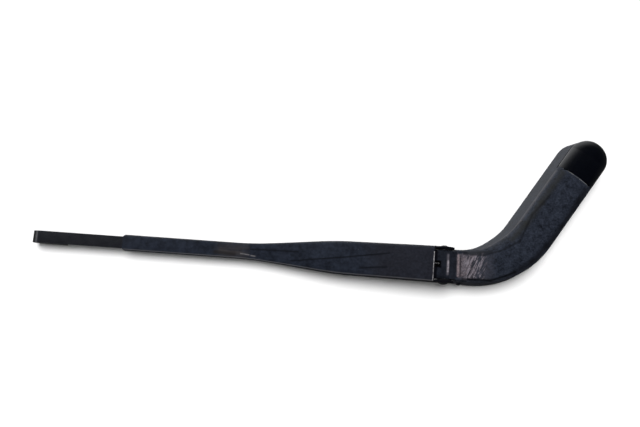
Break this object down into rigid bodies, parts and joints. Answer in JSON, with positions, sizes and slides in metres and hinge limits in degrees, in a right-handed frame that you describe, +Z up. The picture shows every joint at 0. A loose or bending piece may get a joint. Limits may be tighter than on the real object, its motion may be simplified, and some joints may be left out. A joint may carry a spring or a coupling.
{
  "type": "wiper arm",
  "caption": "Cranked rear wiper arm with a cast head under a flip cap, a hinged folded channel with its tension spring and link, and a flat hook bar.",
  "frame": {"origin": "on the spindle axis at the foot of the head, where the spindle enters the boss", "axes": "+Z up along the spindle, away from the bodywork; the arm and bar lie along -X, offset along -Y by the cranked head"},
  "size_m": [0.4352, 0.1192, 0.027],
  "materials": {
    "head_paint": "satin navy-black paint on a cast head, worn at the hinge end",
    "cap_plastic": "satin moulded black",
    "arm_paint": "satin black paint on folded sheet",
    "bar_paint": "satin black paint on flat strip",
    "rivet_paint": "black paint with a bare crown",
    "zinc_steel": "dull zinc plate",
    "spring_steel": "dark drawn wire",
    "bush_resin": "black acetal"
  },
  "bodies": {
    "head": {"mounting_head": "head_paint", "link_pin": "zinc_steel", "hinge_bush_near": "bush_resin", "hinge_bush_far": "bush_resin"},
    "arm": {"arm_channel": "arm_paint", "wiper_bar": "bar_paint", "hinge_rivet": "rivet_paint"},
    "cap": {"head_cap": "cap_plastic"},
    "link": {"spring_link": "zinc_steel"},
    "spring": {"tension_spring": "spring_steel"}
  },
  "joints": [
    {"name": "arm_fold", "type": "hinge", "parent": "head", "child": "arm", "pos_m": [-0.105, -0.0875, 0.017], "axis": [0, 1, 0], "range_deg": [0, 55], "stiffness_Nm_per_rad": 0.3, "springref_deg": -108.86, "deforming": ["tension_spring"]},
    {"name": "cap_flip", "type": "hinge", "parent": "head", "child": "cap", "pos_m": [-0.00806, -0.01241, 0.0238], "axis": [0.8387, -0.5446, 0], "range_deg": [0, 90]},
    {"name": "link_swing", "type": "hinge", "parent": "head", "child": "link", "pos_m": [-0.0926, -0.0875, 0.012], "axis": [0, 1, 0], "range_deg": [0, 47.4]},
    {"name": "spring_swing", "type": "hinge", "parent": "arm", "child": "spring", "pos_m": [-0.18475, -0.0875, 0.012], "axis": [0, 1, 0], "range_deg": [-7.8, 0]}
  ],
  "couplings": [
    {"joint": "link_swing", "follows": "arm_fold", "ratio": 0.8601},
    {"joint": "spring_swing", "follows": "arm_fold", "ratio": -0.1399}
  ]
}
